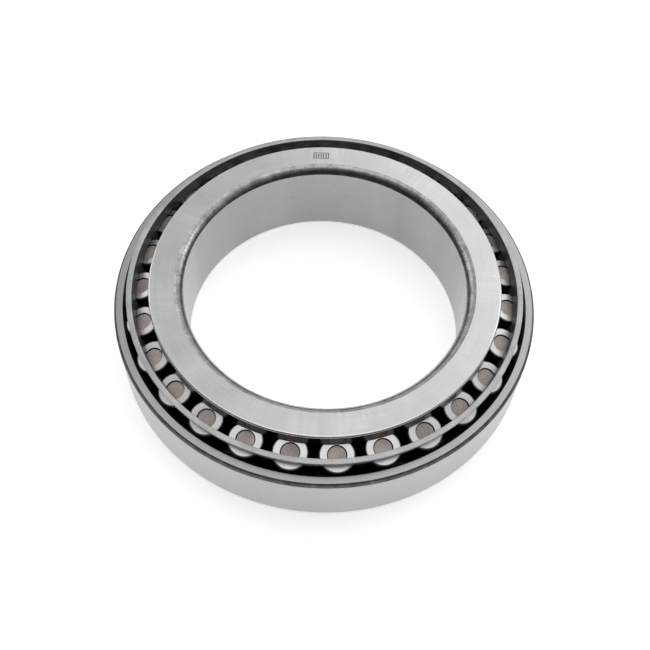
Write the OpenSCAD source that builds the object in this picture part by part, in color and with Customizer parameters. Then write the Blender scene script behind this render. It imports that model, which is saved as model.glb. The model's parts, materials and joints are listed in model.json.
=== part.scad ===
// Tapered roller bearing: an inner ring (cone), an outer ring (cup), a pressed cage
// and one row of tapered rollers. All the raceway cones and the roller axes meet in
// one apex on the bearing's axis, below the bearing, so the rollers roll without slip.
// Origin: on the axis, at the outer ring's back face. +Z points at the inner ring's back face.

/* [Rings] */
// Bore diameter of the inner ring
bore_d = 100; // [80:0.5:130]
// Overall width, which is also the width of the inner ring
bearing_w = 32; // [26:0.5:40]
// Height of the inner ring's back face above the outer ring's front face
cup_inset = 8; // [6:0.25:10]
// Wall of the inner ring between the bore and the large end of its raceway
cone_wall = 9.3; // [7:0.1:13]
// Wall of the outer ring at its back face, before the outside diameter is rounded
cup_wall = 11.3; // [9:0.1:16]
// Depth of the large rib that guides the roller heads, measured along the axis
rib_w = 4.3; // [3:0.1:6]
// Height of the large rib above the end of the raceway
rib_h = 2.7; // [2:0.1:3.4]
// Depth of the small rib, measured along the axis
small_rib_w = 6.7; // [5:0.1:8.5]
// Height of the small rib above the small end of the raceway
small_rib_h = 1.25; // [0.8:0.05:1.6]

/* [Rolling geometry] */
// Angle between the outer raceway and the axis
cup_angle = 17; // [13:0.5:20]
// Half of the angle of the roller's own taper
roller_half_angle = 1.45; // [1.1:0.05:1.6]
// Number of rollers
roller_count = 27; // [16:1:28]
// Angle of the first roller round the axis
roller_start = 8.7; // [0:0.1:13]
// Running clearance between a roller and each surface that it rolls on
race_gap = 0.1; // [0.08:0.01:0.14]

/* [Roller ends] */
// Diameter of the shallow recess in each roller end
recess_d = 6.6; // [4:0.1:7.5]
// Depth of the recess
recess_depth = 0.5; // [0.2:0.05:1]
// Rounding of the rim of a roller end
roller_edge_r = 0.6; // [0.3:0.05:0.9]

/* [Cage] */
// Thickness of the cage's sheet metal
cage_t = 1.9; // [1.5:0.05:2.2]
// Distance from the roller axes out to the inside of the cage, at the roller heads
cage_lift = 1.65; // [1.2:0.05:2]
// Distance of the cage's upper edge below the inner ring's back face
cage_top_inset = 2.6; // [2:0.1:3.2]
// Height of the cage's foot above the outer ring's back face
cage_foot_z = 1.1; // [0.8:0.1:1.4]
// Clearance between the cage's foot and the small rib
cage_foot_gap = 0.9; // [0.6:0.1:1.2]
// Clearance between a roller and each side and end of its pocket
pocket_gap = 0.2; // [0.15:0.01:0.3]

/* [Corners] */
// Corner of the inner ring's bore at the back face, along the axis
bore_back_axial = 2.7; // [1.5:0.1:3.5]
// Corner of the inner ring's bore at the back face, along the radius
bore_back_radial = 3.1; // [1.5:0.1:4]
// Corner of the inner ring's bore at the front face
bore_front_corner = 1.7; // [1:0.1:2.5]
// Corner on the outside of the large rib
rib_corner = 0.8; // [0.4:0.1:1.2]
// Corner of the outer ring at its back face
cup_back_corner = 2.2; // [1.2:0.1:3]
// Corner of the outer ring at its front face, along the axis
cup_front_axial = 1.8; // [1:0.1:2.5]
// Corner of the outer ring at its front face, along the radius
cup_front_radial = 0.9; // [0.5:0.1:1.3]
// Bevel between the outer raceway and the front face
cup_lip_bevel = 1.1; // [0.6:0.1:1.5]

/* [Hidden] */
$fn = 96;
// Steps in each rounded corner of a profile
corner_steps = 4;
// Bevel on the outside of the small rib, and inside the outer ring's back face
small_bevel = 0.5;
// Relief groove at each end of the inner raceway
relief_w = 0.9;
relief_depth = 0.35;

// Half of the inner raceway's cone, and tilt of the roller axes
cone_angle = cup_angle - 2 * roller_half_angle;
axis_angle = cup_angle - roller_half_angle;

// The inner raceway's large end touches the rim of the roller heads
race_end_r = bore_d / 2 + cone_wall;
race_end_z = bearing_w - rib_w;
race_start_z = small_rib_w;

// Apex of all the cones, and distances from it along a roller axis
apex_z = race_end_z - race_end_r / tan(cone_angle);
head_dist = race_end_r / sin(cone_angle) * cos(roller_half_angle);
tail_dist = (race_start_z - apex_z) / cos(cone_angle) * cos(roller_half_angle);
roller_len = head_dist - tail_dist;

// Raceway radii at a height
function cone_race_r(z) = (z - apex_z) * tan(cone_angle);
function cup_race_r(z) = (z - apex_z) * tan(cup_angle);

// Outside diameter, a whole number of millimetres as in the standard series
outside_d = round(2 * (cup_race_r(0) + cup_wall));
cup_w = bearing_w - cup_inset;

// Rib radii
rib_r = race_end_r + rib_h;
small_rib_r = cone_race_r(race_start_z) + small_rib_h;

// Cage: its sheet lies on a cone with the same apex
cage_tilt = asin(cage_lift / head_dist);
cage_angle = axis_angle + cage_tilt;
cage_top_z = bearing_w - cage_top_inset;
cage_sheet_r = cage_t / cos(cage_angle);
cage_foot_r = small_rib_r + cage_foot_gap;
function cage_in_r(z) = (z - apex_z) * tan(cage_angle);
function cage_out_r(z) = cage_in_r(z) + cage_sheet_r;

// Half of a pocket's width at a distance from the apex: half of the roller's width level with
// the inside of the sheet, and the clearance
function pocket_half(dist) =
    dist * sqrt(pow(tan(roller_half_angle), 2) - pow(sin(cage_tilt), 2)) + pocket_gap;

// Points of a rounded corner: a quarter ellipse about its centre, from angle a0 to a1
function corner(cx, cz, rx, rz, a0, a1) =
    [for (i = [0 : corner_steps])
        let (a = a0 + (a1 - a0) * i / corner_steps)
        [cx + rx * cos(a), cz + rz * sin(a)]];

// Height, at radius r, of the line that is square to a roller's axis at a distance from the apex
function end_line_z(dist, r) =
    apex_z + (dist - r * sin(axis_angle)) / cos(axis_angle);

function roller_name(i) = str("roller_", i < 10 ? "0" : "", i);
roller_names = [for (i = [1 : roller_count]) roller_name(i)];

// Inner ring: bore, two ribs and the tapered raceway between them
module inner_ring() {
    guide_dist = head_dist + race_gap;
    tail_gap_dist = tail_dist - race_gap;
    relief_top_z = end_line_z(guide_dist, race_end_r - relief_depth);
    relief_low_z = end_line_z(tail_gap_dist, small_rib_r);
    bore_r = bore_d / 2;
    color("gainsboro")
    rotate_extrude()
    polygon(concat(
        corner(bore_r + bore_front_corner, bore_front_corner,
               bore_front_corner, bore_front_corner, 180, 270),
        corner(small_rib_r - small_bevel, small_bevel, small_bevel, small_bevel, 270, 360),
        [[small_rib_r, relief_low_z]],
        [[cone_race_r(race_start_z) - relief_depth, relief_low_z]],
        [[cone_race_r(race_start_z + relief_w) - relief_depth, race_start_z + relief_w]],
        [[cone_race_r(race_start_z + 2 * relief_w), race_start_z + 2 * relief_w]],
        [[cone_race_r(race_end_z - relief_w), race_end_z - relief_w]],
        [[race_end_r - relief_depth, relief_top_z]],
        [[rib_r, end_line_z(guide_dist, rib_r)]],
        corner(rib_r - rib_corner, bearing_w - rib_corner, rib_corner, rib_corner, 0, 90),
        corner(bore_r + bore_back_radial, bearing_w - bore_back_axial,
               bore_back_radial, bore_back_axial, 90, 180)
    ));
}

// Outer ring: tapered raceway inside, plain cylinder outside
module outer_ring() {
    out_r = outside_d / 2;
    lip_z = cup_w - cup_lip_bevel;
    color("silver")
    rotate_extrude()
    polygon(concat(
        [[cup_race_r(small_bevel), small_bevel]],
        [[cup_race_r(0) + small_bevel, 0]],
        corner(out_r - cup_back_corner, cup_back_corner,
               cup_back_corner, cup_back_corner, 270, 360),
        corner(out_r - cup_front_radial, cup_w - cup_front_axial,
               cup_front_radial, cup_front_axial, 0, 90),
        [[cup_race_r(lip_z) + cup_lip_bevel, cup_w]],
        [[cup_race_r(lip_z), lip_z]]
    ));
}

// One roller in its own frame: small end at the origin, axis along +Z, +X away from the bearing's axis
module roller_body() {
    low_r = tail_dist * tan(roller_half_angle) - race_gap;
    high_r = head_dist * tan(roller_half_angle) - race_gap;
    recess_r = recess_d / 2;
    rotate_extrude()
    polygon(concat(
        [[0, recess_depth]],
        [[recess_r - recess_depth, recess_depth]],
        [[recess_r, 0]],
        corner(low_r - roller_edge_r, roller_edge_r, roller_edge_r, roller_edge_r, 270, 360),
        corner(high_r - roller_edge_r, roller_len - roller_edge_r,
               roller_edge_r, roller_edge_r, 0, 90),
        [[recess_r, roller_len]],
        [[recess_r - recess_depth, roller_len - recess_depth]],
        [[0, roller_len - recess_depth]]
    ));
}

// Puts a roller's own frame at its place in the row
module at_roller(i) {
    start_r = tail_dist * sin(axis_angle);
    start_z = apex_z + tail_dist * cos(axis_angle);
    rotate([0, 0, roller_start + (i - 1) * 360 / roller_count])
    translate([start_r, 0, start_z])
    rotate([0, axis_angle, 0])
    children();
}

module roller(i) {
    color("lightsteelblue")
    at_roller(i) roller_body();
}

// Punches one pocket, in a roller's own frame: a tapered window with straight sides, from the
// roller's axis out through the sheet
module pocket_punch() {
    low_half = pocket_half(tail_dist - pocket_gap);
    high_half = pocket_half(head_dist + pocket_gap);
    rotate([90, 0, 90])
    linear_extrude(height = cage_lift + 2 * cage_t)
    polygon([
        [-low_half, -pocket_gap],
        [low_half, -pocket_gap],
        [high_half, roller_len + pocket_gap],
        [-high_half, roller_len + pocket_gap]
    ]);
}

// Cage: a conical sheet with a turned-in foot, and one pocket for each roller
module cage() {
    foot_top_z = cage_foot_z + cage_t;
    bend_in = cage_t / 2;
    bend_in_r = cage_in_r(foot_top_z + bend_in);
    color("dimgray")
    difference() {
        rotate_extrude()
        polygon(concat(
            [[cage_foot_r, cage_foot_z]],
            corner(cage_out_r(foot_top_z) - cage_t, foot_top_z, cage_t, cage_t, 270, 350),
            [[cage_out_r(cage_top_z), cage_top_z]],
            [[cage_in_r(cage_top_z), cage_top_z]],
            [[bend_in_r, foot_top_z + bend_in]],
            [[bend_in_r - bend_in, foot_top_z]],
            [[cage_foot_r, foot_top_z]]
        ));
        for (i = [1 : roller_count]) {
            at_roller(i) pocket_punch();
        }
    }
}

inner_ring();
outer_ring();
cage();
for (i = [1 : roller_count]) roller(i);
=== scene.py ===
import json
import math

import bmesh
import bpy
import numpy as np
from mathutils import Matrix, Vector


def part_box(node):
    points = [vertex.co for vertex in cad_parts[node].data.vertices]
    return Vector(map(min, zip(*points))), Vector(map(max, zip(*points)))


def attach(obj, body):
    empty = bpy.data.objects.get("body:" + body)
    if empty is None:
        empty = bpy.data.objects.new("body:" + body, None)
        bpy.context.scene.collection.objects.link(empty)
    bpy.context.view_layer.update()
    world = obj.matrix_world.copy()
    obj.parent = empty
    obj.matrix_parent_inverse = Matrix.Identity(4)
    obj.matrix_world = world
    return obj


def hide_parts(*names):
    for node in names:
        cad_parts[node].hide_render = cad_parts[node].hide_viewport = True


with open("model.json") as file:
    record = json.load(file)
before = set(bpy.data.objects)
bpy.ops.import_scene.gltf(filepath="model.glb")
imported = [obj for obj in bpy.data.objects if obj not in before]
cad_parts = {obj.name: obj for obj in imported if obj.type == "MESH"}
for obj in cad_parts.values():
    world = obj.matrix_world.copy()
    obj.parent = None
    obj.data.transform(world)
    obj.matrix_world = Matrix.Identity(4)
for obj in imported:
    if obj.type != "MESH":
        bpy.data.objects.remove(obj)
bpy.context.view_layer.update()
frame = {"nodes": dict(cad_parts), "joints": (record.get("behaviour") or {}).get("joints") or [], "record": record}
print("frame loaded,", len(frame["nodes"]), "nodes")

mm = 0.001  # shapes are worked out in millimetres, and makeMesh turns them into metres


# what the frame says about the bearing
joints = {joint["name"]: joint for joint in frame["joints"]}
mounts = {mount["name"]: mount for mount in frame["record"]["mounts"]}
rollerNames = sorted(name for name in frame["nodes"] if name.startswith("roller_"))
boreRadius = mounts["bore"]["dims"]["r_mm"]
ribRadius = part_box("inner_ring")[1].x / mm
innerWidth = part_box("inner_ring")[1].z / mm
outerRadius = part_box("outer_ring")[1].x / mm
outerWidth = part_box("outer_ring")[1].z / mm
cageFoot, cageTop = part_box("cage")[0].z / mm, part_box("cage")[1].z / mm

# the roller axes meet in an apex on the bearing's axis
firstAxis = joints[rollerNames[0] + "_spin"]
axisTilt = math.acos(firstAxis["axis"][2])
axisReach = math.hypot(firstAxis["pos_m"][0], firstAxis["pos_m"][1]) / mm
apexZ = firstAxis["pos_m"][2] / mm - axisReach / math.tan(axisTilt)
rollerMid = axisReach / math.sin(axisTilt)  # distance from the apex to a roller's middle

rolling = {
    "halfAngle": math.radians(1.45),  # half of a roller's taper
    "length": 21.645,
    "gap": 0.1,  # running clearance
}
headDist = rollerMid + rolling["length"] / 2
tailDist = rollerMid - rolling["length"] / 2


def innerRace(z):
    # radius, at height z, of the cone through the apex that the rollers run on
    return (z - apexZ) * math.tan(axisTilt - rolling["halfAngle"])


def outerRace(z):
    # radius, at height z, of the cone through the apex that runs on the rollers
    return (z - apexZ) * math.tan(axisTilt + rolling["halfAngle"])


def endLine(dist, r):
    # height, at radius r, of the line square to a roller's axis at a distance from the apex
    return apexZ + (dist - r * math.sin(axisTilt)) / math.cos(axisTilt)


# profiles and surfaces

def arc(cx, cz, rx, rz, start, stop, steps=8):
    # part of an ellipse: centre plus (rx cos a, rz sin a), with a in degrees from start to stop
    turn = np.radians(np.linspace(start, stop, steps + 1))
    return np.stack([cx + rx * np.cos(turn), cz + rz * np.sin(turn)], -1)


def bulge(start, stop, first, last, steps=8):
    # the stretch of a circle from the angle first to the angle last, stretched to reach from
    # start to stop
    turn = np.radians(np.linspace(first, last, steps + 1))
    circle = np.stack([np.cos(turn), np.sin(turn)], -1)
    share = (circle - circle[0]) / (circle[-1] - circle[0])
    return np.array(start) + (np.array(stop) - np.array(start)) * share


def straight(start, stop, steps=6, edge=0.06):
    # a straight run with an extra point near each end, which keeps flat faces flat in shading
    start, stop = np.array(start, float), np.array(stop, float)
    near = edge / max(np.linalg.norm(stop - start), 3 * edge)
    share = np.concatenate([[0], np.linspace(near, 1 - near, steps), [1]])[:, None]
    return start + (stop - start) * share


def joinRuns(runs):
    # runs of (zone, points) head to tail; gives the points and the zone of each step between them
    shortest = 1e-4  # points closer than this are one point
    points, zones = [], []
    for zone, run in runs:
        points.append(run)
        zones += [zone] * (len(run) - 1) + [None]
    points = np.concatenate(points)
    step = np.linalg.norm(np.roll(points, -1, 0) - points, axis=1)
    keep = step > shortest
    chosen = [zones[k] or "edge" for k in range(len(points)) if keep[k]]
    return points[keep], chosen


def gridFaces(rows, columns, closeRows, closeColumns):
    # quads between neighbours of a rows x columns grid, wrapped round where a direction closes
    i = np.arange(rows if closeRows else rows - 1)[:, None]
    j = np.arange(columns if closeColumns else columns - 1)[None, :]
    nextI, nextJ = (i + 1) % rows, (j + 1) % columns
    corners = [i * columns + j, nextI * columns + j, nextI * columns + nextJ, i * columns + nextJ]
    return np.stack(np.broadcast_arrays(*corners), -1).reshape(-1, 4)


def faceOutwards(points, faces):
    # the signed volume under all the quads is positive when they face outwards
    a, b, c, d = (points[faces[:, k]] for k in range(4))
    volume = (np.cross(a, b) * c).sum() + (np.cross(a, c) * d).sum()
    return faces if volume > 0 else faces[:, ::-1]


def makeMesh(name, points, faces, zones, looks, own=None):
    # faces is a list of rows of vertex numbers, already facing outwards; zones names each face's look
    mesh = bpy.data.meshes.new(name)
    mesh.from_pydata(points * mm, [], faces, shade_flat=False)
    for look in looks.values():
        mesh.materials.append(look)
    order = {zone: k for k, zone in enumerate(looks)}
    mesh.polygons.foreach_set("material_index", np.array([order[zone] for zone in zones], np.int32))
    if own is not None:
        layer = mesh.attributes.new("ownPlace", "FLOAT_VECTOR", "POINT")
        layer.data.foreach_set("vector", (own * mm).astype(np.float32).ravel())
    mesh.update()
    piece = bpy.data.objects.new(name, mesh)
    bpy.context.scene.collection.objects.link(piece)
    return piece


def turnProfile(profile, turns):
    # surface of revolution: point (i, j) is profile point j turned through step i of a full turn
    turn = np.arange(turns)[:, None] * (2 * np.pi / turns)
    r, z = profile[None, :, 0], profile[None, :, 1]
    return np.stack([r * np.cos(turn), r * np.sin(turn), z + 0 * turn], -1).reshape(-1, 3)


def turnedPiece(name, runs, looks, turns=512):
    # a closed profile carried once round the axis
    profile, zones = joinRuns(runs)
    points = turnProfile(profile, turns)
    faces = faceOutwards(points, gridFaces(turns, len(profile), True, True))
    return makeMesh(name, points, faces.tolist(), zones * turns, looks)


def place(piece, body, node):
    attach(piece, body)
    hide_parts(node)


# shader graphs

class Wire:
    # one output socket; a sum written with it adds its Math nodes

    def __init__(self, graph, socket):
        self.graph, self.socket = graph, socket

    def math(self, operation, first, second=None):
        values = [first] if second is None else [first, second]
        return self.graph.add("ShaderNodeMath", {"operation": operation}, values)

    def __add__(self, other):
        return self.math("ADD", self, other)

    def __sub__(self, other):
        return self.math("SUBTRACT", self, other)

    def __mul__(self, other):
        return self.math("MULTIPLY", self, other)

    def __truediv__(self, other):
        return self.math("DIVIDE", self, other)

    def __rsub__(self, other):
        return self.math("SUBTRACT", other, self)

    def __rtruediv__(self, other):
        return self.math("DIVIDE", other, self)

    __radd__ = __add__
    __rmul__ = __mul__

    def power(self, other):
        return self.math("POWER", self, other)

    def under(self, other):
        return self.math("LESS_THAN", self, other)

    def size(self):
        return self.math("ABSOLUTE", self)


class Graph:
    def __init__(self, tree):
        self.tree = tree
        self.tree.nodes.clear()

    def add(self, kind, settings=None, inputs=None, output=0):
        # settings go in first, then the sockets, by name or by position
        node = self.tree.nodes.new(kind)
        for key, value in (settings or {}).items():
            if key == "stops":
                self.setStops(node.color_ramp, value)
            else:
                setattr(node, key, value)
        pairs = inputs.items() if isinstance(inputs, dict) else enumerate(inputs or [])
        for key, value in pairs:
            if isinstance(value, Wire):
                self.tree.links.new(value.socket, node.inputs[key])
            else:
                node.inputs[key].default_value = value
        return Wire(self, node.outputs[output]) if node.outputs else node

    def setStops(self, ramp, stops):
        while len(ramp.elements) < len(stops):
            ramp.elements.new(0.5)
        for element, (position, level) in zip(ramp.elements, stops):
            element.position = position
            element.color = (level, level, level, 1)

    def ramp(self, factor, stops):
        return self.add("ShaderNodeValToRGB", {"stops": stops}, {"Fac": factor})

    def noise(self, vector, scale, detail=2.0, roughness=0.5):
        sockets = {"Vector": vector, "Scale": scale, "Detail": detail, "Roughness": roughness}
        return self.add("ShaderNodeTexNoise", {"noise_dimensions": "3D"}, sockets)

    def blend(self, factor, first, second):
        # a colour Mix node has its factor in socket 0 and its two colours in sockets 6 and 7
        return self.add("ShaderNodeMix", {"data_type": "RGBA"}, {0: factor, 6: first, 7: second}, 2)

    def split(self, vector):
        node = self.add("ShaderNodeSeparateXYZ", {}, [vector]).socket.node
        return [Wire(self, out) for out in node.outputs]

    def bump(self, height, strength, distance):
        sockets = {"Height": height, "Strength": strength, "Distance": distance}
        return self.add("ShaderNodeBump", {}, sockets)

    def vector(self, x, y, z):
        return self.add("ShaderNodeCombineXYZ", {}, [x, y, z])


def newMaterial(name):
    material = bpy.data.materials.new(name)
    material.use_nodes = True
    return material, Graph(material.node_tree)


def closeMaterial(graph, sockets):
    shader = graph.add("ShaderNodeBsdfPrincipled", {}, sockets)
    graph.add("ShaderNodeOutputMaterial", {}, {"Surface": shader})


def grey(level, warmth=0.0):
    return (level * (1 + warmth), level, level * (1 - warmth), 1)


def roundPlaces(graph, attribute=None):
    # place, radius, height and unit direction round the Z axis, in Object coordinates or in an
    # attribute that holds the piece's own frame
    onAxis = 1e-12  # keeps the division whole on the axis
    if attribute:
        spot = graph.add("ShaderNodeAttribute", {"attribute_name": attribute}, {}, "Vector")
    else:
        spot = graph.add("ShaderNodeTexCoord", {}, {}, "Object")
    x, y, z = graph.split(spot)
    radius = (x * x + y * y + onAxis).power(0.5)
    return spot, radius, z, x / radius, y / radius


def tickMask(graph, spot, s):
    # 1 on a row of etched strokes in a thin frame, on the +Y side of the axis, and 0 elsewhere
    x, y, z = graph.split(spot)
    x, y = (x - s["middle"][0]).size(), (y - s["middle"][1]).size()

    def box(margin):
        wide = x.under(s["count"] * s["pitch"] / 2 + margin)
        return wide * y.under(s["length"] / 2 + margin)

    step = x * (1 / s["pitch"])
    stroke = (step - step.math("ROUND", step)).size().under(s["width"] / s["pitch"] / 2)
    return stroke * box(0.0) + box(s["margin"]) - box(s["margin"] - s["line"])


toolLines = {
    "slant": 1.31,  # a step up counts as this many steps out, so walls get lines as faces do
    "broadSwing": 1.5,  # how much a broad line changes on its way round
    "broadPitch": 0.22,  # fine lines to a broad line, as a fraction
    "fineShare": 0.6,
    "broadShare": 0.4,
    "crossPitch": 45.0,
    "crossPatches": [(0.45, 0.0), (0.65, 1.0)],  # cross marks lie only in some patches
    "sweepSwing": 2.2,
    "wavePitch": 120.0,
    "inkRoughness": 0.3,
}


def steel(name, look, attribute=None):
    # Cut or ground steel. Tool lines run round the axis: a noise that changes fast with radius
    # and height and slowly with direction. Cross marks change fast with direction instead.
    material, graph = newMaterial(name)
    spot, radius, z, dx, dy = roundPlaces(graph, attribute)
    t = toolLines

    def roundNoise(swing, along, detail, roughness):
        return graph.noise(graph.vector(dx * swing, dy * swing, along), 1.0, detail, roughness)

    across = radius + z * t["slant"]
    fine = roundNoise(look["swing"], across * (1 / look["pitch"]), 3.0, 0.6)
    broad = roundNoise(t["broadSwing"], across * (t["broadPitch"] / look["pitch"]), 2.0, 0.5)
    cross = roundNoise(look["crossScale"], across * t["crossPitch"], 3.0, 0.7)
    patch = graph.noise(spot, look["patchScale"], 3.0, 0.55)
    lines = fine * t["fineShare"] + broad * t["broadShare"] - 0.5
    marks = (cross - 0.5) * graph.ramp(patch, t["crossPatches"])
    tone = lines * look["lineTone"] + marks * look["crossTone"] + (patch - 0.5) * look["patchTone"]
    if look.get("sweep"):
        # broad light and dark stretches round the ring; on the bore, where they are strongest, they are painted
        # reflection bands
        sweep = roundNoise(t["sweepSwing"], 0.0, 2.0, 0.5)
        tone = tone + (sweep - 0.5) * look["sweep"]
    share = graph.ramp(tone + 0.5, [(0.0, 0.0), (1.0, 1.0)])
    dark, light = grey(look["dark"], look["warmth"]), grey(look["light"], look["warmth"])
    colour = graph.blend(share, dark, light)
    rough = look["roughness"] + (patch - 0.5) * look["patchRough"] + lines * look["lineRough"]
    height = lines * look["lineDepth"] + marks * look["crossDepth"]
    if look.get("waves"):
        # chatter left by the tool: long soft waves round the ring
        wave = roundNoise(look["waveScale"], across * t["wavePitch"], 2.0, 0.55)
        height = height + (wave - 0.5) * look["waves"]
    if look.get("ticks"):
        ink = tickMask(graph, spot, look["ticks"])
        colour = graph.blend(ink, colour, grey(look["ticks"]["ink"]))
        rough = rough + ink * t["inkRoughness"]
    normal = graph.bump(height, 1.0, look["bumpDistance"])
    closeMaterial(graph, {
        "Base Color": colour, "Metallic": 1.0, "Roughness": rough, "Normal": normal,
        "Anisotropic": look["anisotropic"], "Specular Tint": grey(look["edgeTint"]),
    })
    return material


# Looks. Lengths are in metres and scales in turns of noise to a metre, or round the ring. A tone
# is how much a mark moves the colour between dark and light, and a depth how much it is felt.

groundLook = {
    "pitch": 0.00022,  # between tool lines
    "swing": 3.0,  # how much a tool line changes on its way round
    "crossScale": 36.0,
    "patchScale": 55.0,
    "lineTone": 0.5,
    "crossTone": 0.9,
    "patchTone": 0.6,
    "dark": 0.36,
    "light": 0.68,
    "warmth": -0.003,
    "roughness": 0.30,
    "patchRough": 0.14,
    "lineRough": 0.08,
    "lineDepth": 0.8,
    "crossDepth": 0.5,
    "bumpDistance": 0.000006,
    "anisotropic": 0.35,
    "edgeTint": 1.0,  # how bright the steel is at a grazing angle
}
markedLook = dict(groundLook, ticks={
    "pitch": 0.00095, "width": 0.00036, "length": 0.0017, "count": 5, "middle": (-0.0036, 0.0572),
    "margin": 0.0006, "line": 0.0003, "ink": 0.05,
})
# the strong sweep paints the bore's bands of reflected light into its colour
boreLook = dict(groundLook, dark=0.28, light=0.46, roughness=0.26, crossTone=0.2, crossDepth=0.05,
                patchTone=0.3, sweep=1.1)
outsideLook = dict(groundLook, dark=0.38, light=0.54, roughness=0.36, crossTone=0.3, crossDepth=0.1,
                   patchTone=0.35, sweep=0.3)
# darker than the face: painted shade on the rib's outside, which lies in shadow
ribShadeLook = dict(groundLook, dark=0.26, light=0.40, roughness=0.17, patchRough=0.06, crossTone=0.2,
               edgeTint=0.7)
# dark, and dim at a grazing angle: painted shade, for the raceways lie in shade between the rings and the rollers
raceShadeLook = dict(groundLook, dark=0.11, light=0.17, roughness=0.32, lineTone=0.2, crossTone=0.1,
                edgeTint=0.15)
lipLook = dict(groundLook, dark=0.28, light=0.46, roughness=0.33, crossTone=0.3, patchTone=0.5)
turnedLook = dict(groundLook, pitch=0.00035, crossScale=60.0, patchScale=300.0, crossTone=1.0,
                  patchTone=1.4, dark=0.16, light=0.52, warmth=-0.015, roughness=0.2, patchRough=0.2,
                  lineDepth=1.0, crossDepth=0.8, waves=7.0, waveScale=70.0, bumpDistance=0.00002,
                  anisotropic=0.2)
cornerLook = dict(turnedLook, dark=0.02, light=0.20, warmth=0.03, patchTone=1.3, waves=8.0,
                  roughness=0.42, edgeTint=0.5)
# near black: painted shade, for the relief grooves of the inner ring and the walls of the recesses in the roller
# ends
paintedShadeLook = dict(turnedLook, dark=0.02, light=0.06, roughness=0.4, waves=1.5, edgeTint=0.3)
# lighter and smoother than the faces: partly wear on the edges, partly painted highlight
edgeWearAndHighlightLook = dict(groundLook, dark=0.5, light=0.68, roughness=0.22, crossTone=0.1)
# dark, and dim at a grazing angle: painted shade on the shiny roller sides, which lie in shade between the rings
rollerSideShadeLook = dict(raceShadeLook, dark=0.12, light=0.18, roughness=0.3, swing=1.0, edgeTint=0.1)
rollerHeadLook = dict(groundLook, dark=0.44, light=0.70, roughness=0.30, lineTone=1.0, crossTone=0.8,
                      crossScale=9.0, patchScale=400.0, patchTone=0.8, swing=1.0)
recessLook = {
    "dark": (0.22, 0.185, 0.17, 1), "light": (0.60, 0.53, 0.50, 1), "scale": 1100.0,
    "cloudScale": 75.0, "metallic": 0.55, "roughness": 0.42,
}
# the inside skin is dark: painted shade, for the cage lies in shade between the rings
sheetLook = {
    "dark": (0.045, 0.046, 0.05, 1), "light": (0.13, 0.132, 0.14, 1), "scale": 1500.0,
    "stainScale": 90.0, "lineSwing": 9.0, "linesPerMetre": 1600.0, "metallic": 0.35,
    "roughness": 0.42, "gloss": 0.5,
}
# the pocket walls and the foot's inner edge near black: painted shade
wallShadeLook = dict(sheetLook, dark=(0.02, 0.02, 0.022, 1), light=(0.07, 0.07, 0.075, 1))
# the outer skin near black and barely glossy: painted shade, which also hides its reflection of the floor
outerSkinShadeLook = dict(sheetLook, dark=(0.01, 0.01, 0.011, 1), light=(0.03, 0.03, 0.032, 1),
                     metallic=0.0, gloss=0.08)
rimLook = dict(sheetLook, dark=(0.32, 0.322, 0.324, 1), light=(0.52, 0.522, 0.524, 1), metallic=0.85)


def recessMaterial(name, look):
    # forged and tumbled surface in a roller's end: matt, brownish, finely mottled
    material, graph = newMaterial(name)
    spot = graph.add("ShaderNodeAttribute", {"attribute_name": "ownPlace"}, {}, "Vector")
    where = graph.add("ShaderNodeTexCoord", {}, {}, "Object")
    mottle = graph.noise(where, look["scale"], 4.0, 0.6)
    cloud = graph.noise(where, look["cloudScale"], 2.0, 0.5)
    share = graph.ramp(mottle * 0.45 + cloud * 0.55, [(0.32, 0.0), (0.66, 1.0)])
    colour = graph.blend(share, look["dark"], look["light"])
    grain = graph.noise(spot, look["scale"] * 3, 2.0, 0.6)
    closeMaterial(graph, {
        "Base Color": colour, "Metallic": look["metallic"],
        "Roughness": mottle * 0.2 + look["roughness"],
        "Normal": graph.bump(grain, 0.6, 0.00001),
    })
    return material


def sheetMaterial(name, look):
    # rolled sheet with a fine grain, faint cloudy stains and, from the press tool, fine lines
    # round the axis; the dark colours of its looks are painted shade
    material, graph = newMaterial(name)
    where, radius, z, dx, dy = roundPlaces(graph)
    grain = graph.noise(where, look["scale"], 3.0, 0.6)
    stain = graph.noise(where, look["stainScale"], 3.0, 0.55)
    swing, along = look["lineSwing"], z * look["linesPerMetre"]
    drawn = graph.noise(graph.vector(dx * swing, dy * swing, along), 1.0, 2.0, 0.6)
    share = graph.ramp(grain * 0.3 + stain * 0.35 + drawn * 0.35, [(0.36, 0.0), (0.64, 1.0)])
    colour = graph.blend(share, look["dark"], look["light"])
    closeMaterial(graph, {
        "Base Color": colour, "Metallic": look["metallic"], "Specular IOR Level": look["gloss"],
        "Roughness": stain * 0.2 + (look["roughness"] - 0.1),
        "Normal": graph.bump(grain, 0.5, 0.00002),
    })
    return material


ringLooks = {
    "face": steel("groundFace", groundLook),
    "marked": steel("etchedFace", markedLook),
    "bore": steel("groundBore", boreLook),
    "outside": steel("groundOutside", outsideLook),
    "race": steel("finishedRaceway", raceShadeLook),
    "turned": steel("turnedCorner", turnedLook),
    "black": steel("darkTurning", paintedShadeLook),
    "edge": steel("brokenEdge", edgeWearAndHighlightLook),
    "lip": steel("turnedLip", lipLook),
    "rib": steel("turnedRib", ribShadeLook),
    "corner": steel("darkCorner", cornerLook),
}
print("ring steels made")


# inner ring

innerRing = {
    "frontCorner": 1.7,
    "backCorner": (3.1, 2.7),  # radial, axial
    "backCornerTurn": (97, 143),  # degrees of a circle that the corner's shape is cut from
    "ribCorner": 0.8,
    "ribDepth": 4.3,
    "smallRibDepth": 6.7,
    "smallRibHeight": 1.25,
    "smallBevel": 0.5,
    "relief": 0.35,
    "reliefWidth": 0.9,
}


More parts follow.
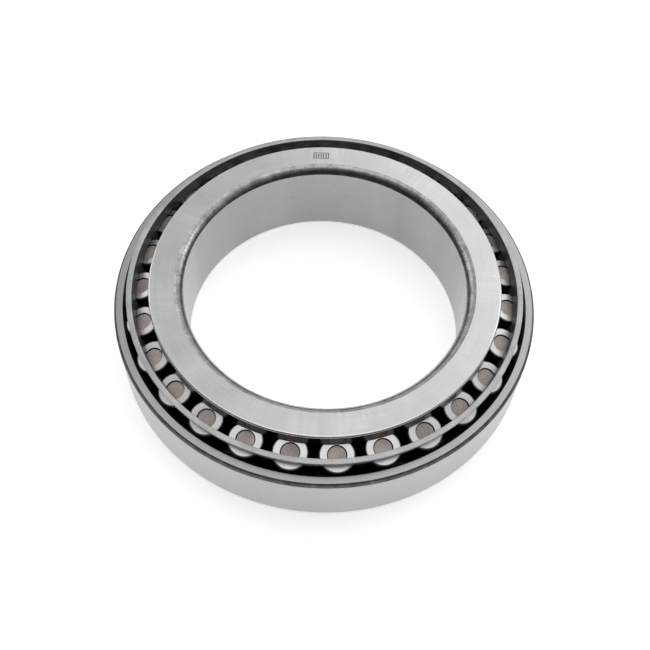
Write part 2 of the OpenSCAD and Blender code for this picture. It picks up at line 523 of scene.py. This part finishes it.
def innerRuns(s):
    # the profile, from the bore's front corner out along the front face and back over the raceway
    raceTop, raceLow = innerWidth - s["ribDepth"], s["smallRibDepth"]
    smallRib = innerRace(raceLow) + s["smallRibHeight"]
    raceEnd = innerRace(raceTop)
    guide, tail = headDist + rolling["gap"], tailDist - rolling["gap"]
    front, (backR, backZ) = s["frontCorner"], s["backCorner"]
    bevel, corner = s["smallBevel"], s["ribCorner"]
    reliefZ, width = endLine(tail, smallRib), s["reliefWidth"]
    reliefR = innerRace(raceLow) - s["relief"]
    raceStart = (innerRace(raceLow + 2 * width), raceLow + 2 * width)
    raceStop = (innerRace(raceTop - width), raceTop - width)
    guideFoot = (raceEnd - s["relief"], endLine(guide, raceEnd - s["relief"]))
    guideRim = (ribRadius, endLine(guide, ribRadius))
    faceIn, faceOut = boreRadius + backR, ribRadius - corner
    boreTop = (boreRadius, innerWidth - backZ)
    return [
        ("lip", arc(boreRadius + front, front, front, front, 180, 270, 12)),
        ("face", straight((boreRadius + front, 0), (smallRib - bevel, 0))),
        ("edge", arc(smallRib - bevel, bevel, bevel, bevel, 270, 360, 6)),
        ("outside", straight((smallRib, bevel), (smallRib, reliefZ))),
        # the relief grooves are painted near black: painted shade
        ("black", straight((smallRib, reliefZ), (reliefR, reliefZ), 3)),
        ("black", straight((reliefR, reliefZ), raceStart, 4)),
        ("race", straight(raceStart, raceStop, 12)),
        ("black", straight(raceStop, guideFoot, 3)),
        ("race", straight(guideFoot, guideRim, 4)),
        ("rib", straight(guideRim, (ribRadius, innerWidth - corner), 5)),
        ("edge", arc(faceOut, innerWidth - corner, corner, corner, 0, 90, 10)),
        ("marked", straight((faceOut, innerWidth), (faceIn, innerWidth), 10)),
        ("turned", bulge((faceIn, innerWidth), boreTop, *s["backCornerTurn"], 18)),
        ("bore", straight(boreTop, (boreRadius, front), 10)),
    ]


innerSteel = turnedPiece("innerRing", innerRuns(innerRing), ringLooks)
place(innerSteel, "inner_ring", "inner_ring")
print("inner ring made")


# outer ring

outerRing = {
    "backCorner": 2.2,
    "frontCorner": (0.9, 1.8),  # radial, axial
    "lipBevel": 1.1,
    "smallBevel": 0.5,
}


def outerRuns(s):
    # the profile, from the raceway's small end out along the back face, up the outside and back
    back, (frontR, frontZ) = s["backCorner"], s["frontCorner"]
    lip, bevel = s["lipBevel"], s["smallBevel"]
    lipFoot = (outerRace(outerWidth - lip), outerWidth - lip)
    lipRim = (lipFoot[0] + lip, outerWidth)
    return [
        ("edge", straight((outerRace(bevel), bevel), (outerRace(0) + bevel, 0), 2)),
        ("face", straight((outerRace(0) + bevel, 0), (outerRadius - back, 0), 8)),
        ("lip", arc(outerRadius - back, back, back, back, 270, 360, 14)),
        ("outside", straight((outerRadius, back), (outerRadius, outerWidth - frontZ), 12)),
        ("corner", arc(outerRadius - frontR, outerWidth - frontZ, frontR, frontZ, 0, 90, 14)),
        ("lip", straight((outerRadius - frontR, outerWidth), lipRim, 5)),
        ("lip", straight(lipRim, lipFoot, 3)),
        ("race", straight(lipFoot, (outerRace(bevel), bevel), 16)),
    ]


outerSteel = turnedPiece("outerRing", outerRuns(outerRing), ringLooks)
place(outerSteel, "outer_ring", "outer_ring")
print("outer ring made")


# rollers

roller = {
    "edgeRound": 0.6,
    "recessRadius": 3.3,
    "recessDepth": 0.5,
    "recessWall": 0.32,
    "core": 0.05,  # the recess floors stop this far from the axis, and a fan closes them
    "turns": 96,
}


def rollerRuns(s):
    # the profile in the roller's own frame, from the small end's recess to the head's recess
    half, gap, length = rolling["halfAngle"], rolling["gap"], rolling["length"]
    low, high = tailDist * math.tan(half) - gap, headDist * math.tan(half) - gap
    edge, recess, depth, wall = s["edgeRound"], s["recessRadius"], s["recessDepth"], s["recessWall"]
    core = s["core"]
    return [
        ("recess", straight((core, depth), (recess - wall, depth), 5)),
        # the recess wall is painted near black: a painted shadow of the step
        ("wall", straight((recess - wall, depth), (recess, 0), 2, 0.03)),
        ("head", straight((recess, 0), (low - edge, 0), 5)),
        ("side", arc(low - edge, edge, edge, edge, 270, 360, 6)),
        ("side", straight((low, edge), (high, length - edge), 14)),
        ("side", arc(high - edge, length - edge, edge, edge, 0, 90, 6)),
        ("head", straight((high - edge, length), (recess, length), 5)),
        ("wall", straight((recess, length), (recess - wall, length - depth), 2, 0.03)),
        ("recess", straight((recess - wall, length - depth), (core, length - depth), 5)),
    ]


def rollerShape(s):
    # surface of revolution in the roller's own frame, closed at each end by a fan round a pole
    profile, zones = joinRuns(rollerRuns(s))
    turns, columns = s["turns"], len(profile)
    points = turnProfile(profile, turns)
    quads = gridFaces(turns, columns, True, False)
    here = np.arange(turns) * columns
    following = np.roll(here, -1)
    last, pole = columns - 1, turns * columns
    lowFan = np.stack([following, here, np.full(turns, pole)], -1)
    highFan = np.stack([here + last, following + last, np.full(turns, pole + 1)], -1)
    fans = np.concatenate([lowFan, highFan])
    turned = faceOutwards(points, quads)
    if turned is not quads:  # the fans turn over with the quads
        fans = fans[:, ::-1]
    poles = np.array([[0, 0, profile[0, 1]], [0, 0, profile[-1, 1]]])
    faces = turned.tolist() + fans.tolist()
    return np.concatenate([points, poles]), faces, zones[:-1] * turns + ["recess"] * len(fans)


def rollerFrame(joint):
    # the own frame's three directions, its Z along the joint's axis, and its start, which is on
    # that axis at the small end's distance from the apex
    axis = np.array(joint["axis"])
    side = np.cross((0, 0, 1), axis)
    side /= np.linalg.norm(side)
    basis = np.stack([np.cross(side, axis), side, axis])
    return basis, axis * tailDist + (0, 0, apexZ)


rollerLooks = {
    "side": steel("rollerSide", rollerSideShadeLook, "ownPlace"),
    "head": steel("rollerHead", rollerHeadLook, "ownPlace"),
    "recess": recessMaterial("rollerRecess", recessLook),
    # the recess wall's near black is a painted shadow
    "wall": steel("rollerRecessWall", paintedShadeLook, "ownPlace"),
}
ownPoints, rollerFaces, rollerZones = rollerShape(roller)
for name in rollerNames:
    basis, start = rollerFrame(joints[name + "_spin"])
    piece = makeMesh(name.replace("_", "") + "Steel", ownPoints @ basis + start,
                     rollerFaces, rollerZones, rollerLooks, ownPoints)
    place(piece, name, name)
print(len(rollerNames), "rollers made")


# cage

cage = {
    "sheet": 1.9,
    "lift": 1.65,  # from the roller axes out to the inside of the sheet
    "pocketGap": 0.2,
    "footGap": 0.9,
    "pocketCells": 12,
    "barCells": 4,
    "pocketRows": 24,
    "rimRows": 4,
    "edgeBreak": 0.14,
}


def cageGrid(s):
    # Two skins of one sheet, inner and outer, each a grid of rows up the sheet and columns round it.
    # A row's columns spread over the pocket, from -half to +half, and then over the bar beside it.
    count = len(rollerNames)
    pitch = 2 * np.pi / count
    tilt = math.asin(s["lift"] / headDist)
    slope, gap = math.tan(axisTilt + tilt), s["pocketGap"]
    widening = math.sqrt(math.tan(rolling["halfAngle"]) ** 2 - math.sin(tilt) ** 2)
    sinT, cosT = math.sin(axisTilt), math.cos(axisTilt)
    cells, bars = s["pocketCells"], s["barCells"]
    across = np.arange(cells + bars)
    pocketShare = np.minimum(across, cells) * 2 / cells - 1
    barShare = np.maximum(across - cells, 0) / bars

    def columnAngles(half):
        # from the pocket's middle: across the pocket evenly, and then across the bar evenly
        return half[:, None] * pocketShare + (pitch - 2 * half[:, None]) * barShare

    def skinRadius(z, shell):
        # the sheet is a cone about the bearing's axis, and shell is how far out the skin lies
        return (z - apexZ) * slope + shell

    def pocketHalf(z, shell):
        # bisection for the angle at which the skin meets the pocket's straight, tapered side
        low, high = np.zeros_like(z), np.full_like(z, pitch / 2)
        r, w = skinRadius(z, shell), z - apexZ
        for step in range(40):
            middle = (low + high) / 2
            along = r * np.cos(middle) * sinT + w * cosT
            clear = r * np.sin(middle) > along * widening + gap
            low, high = np.where(clear, low, middle), np.where(clear, middle, high)
        return high

    def endHeight(angle, dist, shell):
        # height on the skin of the plane square to the roller's axis
        turned = np.cos(angle) * sinT
        return apexZ + (dist - shell * turned) / (slope * turned + cosT)

    def pocketEnd(dist, shell):
        # the corner of a pocket, where its side meets its end: found by going round the two
        half = np.zeros(1)
        for step in range(6):
            half = pocketHalf(endHeight(half, dist, shell), shell)
        return half

    shellOut = s["sheet"] / math.cos(math.atan(slope))
    footTop, footRim = cageFoot + s["sheet"], innerRace(innerRing["smallRibDepth"])
    footRim += innerRing["smallRibHeight"] + s["footGap"]
    bend = s["sheet"] / 2
    bendR = skinRadius(footTop + bend, 0)
    outR = skinRadius(footTop, shellOut) - s["sheet"]
    footPaths = [
        np.concatenate([straight((footRim, footTop), (bendR - bend, footTop), 4, 0.4),
                        arc(bendR - bend, footTop + bend, bend, bend, 270, 360, 6)[1:]]),
        np.concatenate([straight((footRim, cageFoot), (outR, cageFoot), 4, 0.4),
                        arc(outR, footTop, s["sheet"], s["sheet"], 270, 350, 6)[1:]]),
    ]
    skins = []
    for shell, foot in zip((0, shellOut), footPaths):
        lowHalf = pocketEnd(tailDist - gap, shell)
        highHalf = pocketEnd(headDist + gap, shell)
        lowZ = endHeight(lowHalf, tailDist - gap, shell)
        highZ = endHeight(highHalf, headDist + gap, shell)
        edgeZ = np.linspace(lowZ[0], highZ[0], s["pocketRows"] + 1)
        angle = columnAngles(pocketHalf(edgeZ, shell))
        z = np.broadcast_to(edgeZ[:, None], angle.shape).copy()
        inPocket = across <= cells
        z[0, inPocket] = endHeight(angle[0, inPocket], tailDist - gap, shell)
        z[-1, inPocket] = endHeight(angle[-1, inPocket], headDist + gap, shell)
        rise = np.linspace(0, 1, s["rimRows"] + 1)[1:, None]
        rimZ = z[-1] + (cageTop - z[-1]) * rise
        lowRise = np.linspace(0, 1, s["rimRows"] + 1)[1:-1, None]
        lowBand = foot[-1, 1] + (z[0] - foot[-1, 1]) * lowRise
        footZ = np.broadcast_to(foot[:, 1:], (len(foot), len(across)))
        footR = np.broadcast_to(foot[:, :1], footZ.shape)
        allZ = np.concatenate([footZ, lowBand, z, rimZ])
        bandR = skinRadius(np.concatenate([lowBand, z, rimZ]), shell)
        radius = np.concatenate([footR, bandR])
        firstRow = len(foot) + len(lowBand)
        below, above = np.repeat(angle[:1], firstRow, 0), np.repeat(angle[-1:], len(rimZ), 0)
        angles = np.concatenate([below, angle, above])
        sector = (np.arange(count) * pitch)[None, :, None]
        turn = math.atan2(firstAxis["axis"][1], firstAxis["axis"][0]) + sector + angles[:, None, :]
        spread = [np.broadcast_to(v[:, None, :], turn.shape) for v in (radius, allZ)]
        r, high = (v.reshape(len(radius), -1) for v in spread)
        turn = turn.reshape(len(radius), -1)
        skins.append(np.stack([r * np.cos(turn), r * np.sin(turn), high], -1))
    return np.stack(skins), firstRow


def cagePiece(s, looks):
    # quads over both skins except in the pockets, and walls between the skins round every edge
    skins, firstRow = cageGrid(s)
    layers, rows, columns, _ = skins.shape
    cells, wide = s["pocketCells"], s["pocketCells"] + s["barCells"]
    lastRow = firstRow + s["pocketRows"]
    number = np.arange(layers * rows * columns).reshape(layers, rows, columns)
    ahead = np.roll(number, -1, 2)
    inHole = np.zeros((rows - 1, columns), bool)
    inHole[firstRow:lastRow] = (np.arange(columns) % wide < cells)[None, :]
    faces, zones = [], []

    def addStrip(zone, a, b, c, d):
        quads = np.stack([v.ravel() for v in (a, b, c, d)], -1)
        faces.append(quads)
        zones.extend([zone] * len(quads))

    for layer in (0, 1):
        n, m = number[layer], ahead[layer]
        inRim = np.zeros_like(inHole)
        inRim[lastRow:] = layer == 1
        for zone, chosen in ((("inside", "outside")[layer], ~inHole & ~inRim), ("rim", inRim)):
            addStrip(zone, n[:-1][chosen], m[:-1][chosen], m[1:][chosen], n[1:][chosen])
    inner, outer, innerNext, outerNext = number[0], number[1], ahead[0], ahead[1]
    for row, zone in ((0, "wall"), (rows - 1, "rim")):
        addStrip(zone, inner[row], innerNext[row], outerNext[row], outer[row])
    overPocket = np.arange(columns) % wide < cells
    for row in (firstRow, lastRow):
        ends = (inner[row], innerNext[row], outerNext[row], outer[row])
        addStrip("wall", *(v[overPocket] for v in ends))
    for side in (0, cells):
        edge = np.arange(side, columns, wide)
        low, high = slice(firstRow, lastRow), slice(firstRow + 1, lastRow + 1)
        innerEdge, outerEdge = inner[:, edge], outer[:, edge]
        addStrip("wall", innerEdge[low], innerEdge[high], outerEdge[high], outerEdge[low])
    faces = np.concatenate(faces)
    used, faces = np.unique(faces, return_inverse=True)
    points = skins.reshape(-1, 3)[used]
    piece = makeMesh("cageSheet", points, faces.reshape(-1, 4).tolist(), zones, looks)
    shape = bmesh.new()
    shape.from_mesh(piece.data)
    bmesh.ops.recalc_face_normals(shape, faces=shape.faces)
    shape.to_mesh(piece.data)
    shape.free()
    bevel = piece.modifiers.new("edgeBreak", "BEVEL")
    bevel.width = s["edgeBreak"] * mm
    bevel.segments = 2
    bevel.limit_method = "ANGLE"
    bevel.angle_limit = math.radians(40)
    return piece


# all but the rim are dark with painted shade
cageLooks = {
    "inside": sheetMaterial("pressedSheet", sheetLook),
    "outside": sheetMaterial("darkSheet", outerSkinShadeLook),
    "wall": sheetMaterial("punchedWall", wallShadeLook),
    "rim": sheetMaterial("turnedRim", rimLook),
}
place(cagePiece(cage, cageLooks), "cage", "cage")
print("cage made")


# studio

studio = {
    "elevation": 57.66,  # degrees above the floor
    "distance": 0.3657,
    "lens": 53.4,
    "roll": 2.53,  # degrees that the camera leans
    "aim": (0.00055, 0.00057, 0.00036),
    "floorSize": 3.0,
    "floorDrop": 0.00005,  # keeps the floor just clear of the lower faces
    "shadeMiddle": 0.0625,  # radius of the middle of the shaded ring
    "shadeWidth": 0.022,
    "roomLean": (0.14, 0.6, 0.8),  # the way to the lightest part of the room
    "roomStops": [(0.30, 0.07), (0.40, 0.045), (0.52, 0.09), (0.70, 0.45), (0.85, 0.85), (1.0, 0.8)],
    "softboxes": [  # name, place, size, power
        ("topBox", (0, 0.0, 0.75), (0.55, 0.55), 0.6),
        ("backBox", (0.40, 0.75, 0.95), (0.8, 0.6), 1.1),
        ("leftBox", (-0.75, 0.45, 0.42), (0.35, 0.4), 0.6),
        ("rightBox", (0.75, 0.35, 0.42), (0.3, 0.4), 0.6),
    ],
}


def addCamera(s):
    lens = bpy.data.cameras.new("camera")
    lens.lens = s["lens"]
    lens.clip_start = 0.01
    camera = bpy.data.objects.new("camera", lens)
    bpy.context.scene.collection.objects.link(camera)
    rise = math.radians(s["elevation"])
    back = Vector((0, -math.cos(rise), math.sin(rise)))
    spot = back * s["distance"]
    look = (Vector(s["aim"]) - spot).normalized()
    facing = look.to_track_quat("-Z", "Y").to_matrix()
    lean = Matrix.Rotation(math.radians(s["roll"]), 3, "Z")
    camera.matrix_world = Matrix.Translation(spot) @ (facing @ lean).to_4x4()
    bpy.context.scene.camera = camera


def addFloor(s):
    half, low = s["floorSize"] / 2, -s["floorDrop"]
    corners = [(-half, -half, low), (half, -half, low), (half, half, low), (-half, half, low)]
    mesh = bpy.data.meshes.new("floor")
    mesh.from_pydata(corners, [], [(0, 1, 2, 3)])
    floor = bpy.data.objects.new("floor", mesh)
    bpy.context.scene.collection.objects.link(floor)
    material, graph = newMaterial("paleFloor")
    # the floor glows a little, except in the shade under the rings
    radius = roundPlaces(graph)[1]
    shade = (radius - s["shadeMiddle"]).size().under(s["shadeWidth"] / 2)
    closeMaterial(graph, {
        "Base Color": (0.9, 0.9, 0.9, 1), "Roughness": 0.9,
        "Emission Color": graph.blend(shade, (1, 1, 1, 1), (0, 0, 0, 1)),
        "Emission Strength": 0.55, "Specular IOR Level": 0.1,
    })
    mesh.materials.append(material)


def addSoftbox(name, spot, size, power):
    # a rectangular light that faces the bearing's axis
    light = bpy.data.lights.new(name, "AREA")
    light.shape, light.size, light.size_y = "RECTANGLE", size[0], size[1]
    light.energy = power
    box = bpy.data.objects.new(name, light)
    bpy.context.scene.collection.objects.link(box)
    facing = (-Vector(spot)).to_track_quat("-Z", "Y").to_matrix().to_4x4()
    box.matrix_world = Matrix.Translation(spot) @ facing


def addRoom(s):
    # the room is light overhead and behind, and dark low in front, which the steel reflects
    world = bpy.data.worlds.new("room")
    world.use_nodes = True
    bpy.context.scene.world = world
    graph = Graph(world.node_tree)
    way = graph.add("ShaderNodeTexCoord", {}, {}, "Generated")
    x, y, z = graph.split(way)
    leanX, leanY, leanZ = s["roomLean"]
    lift = y * leanY + z * leanZ + x * leanX
    level = graph.ramp(lift * 0.5 + 0.5, s["roomStops"])
    # looked at straight, the room is as pale as the floor
    direct = graph.add("ShaderNodeLightPath", {}, {}, "Is Camera Ray")
    colour = graph.blend(direct, level, (1, 1, 1, 1))
    ground = graph.add("ShaderNodeBackground", {}, {"Color": colour, "Strength": 1.0})
    graph.add("ShaderNodeOutputWorld", {}, {"Surface": ground})


addCamera(studio)
addFloor(studio)
addRoom(studio)
for softbox in studio["softboxes"]:
    addSoftbox(*softbox)
bpy.context.scene.view_settings.view_transform = "Standard"
print("studio made")
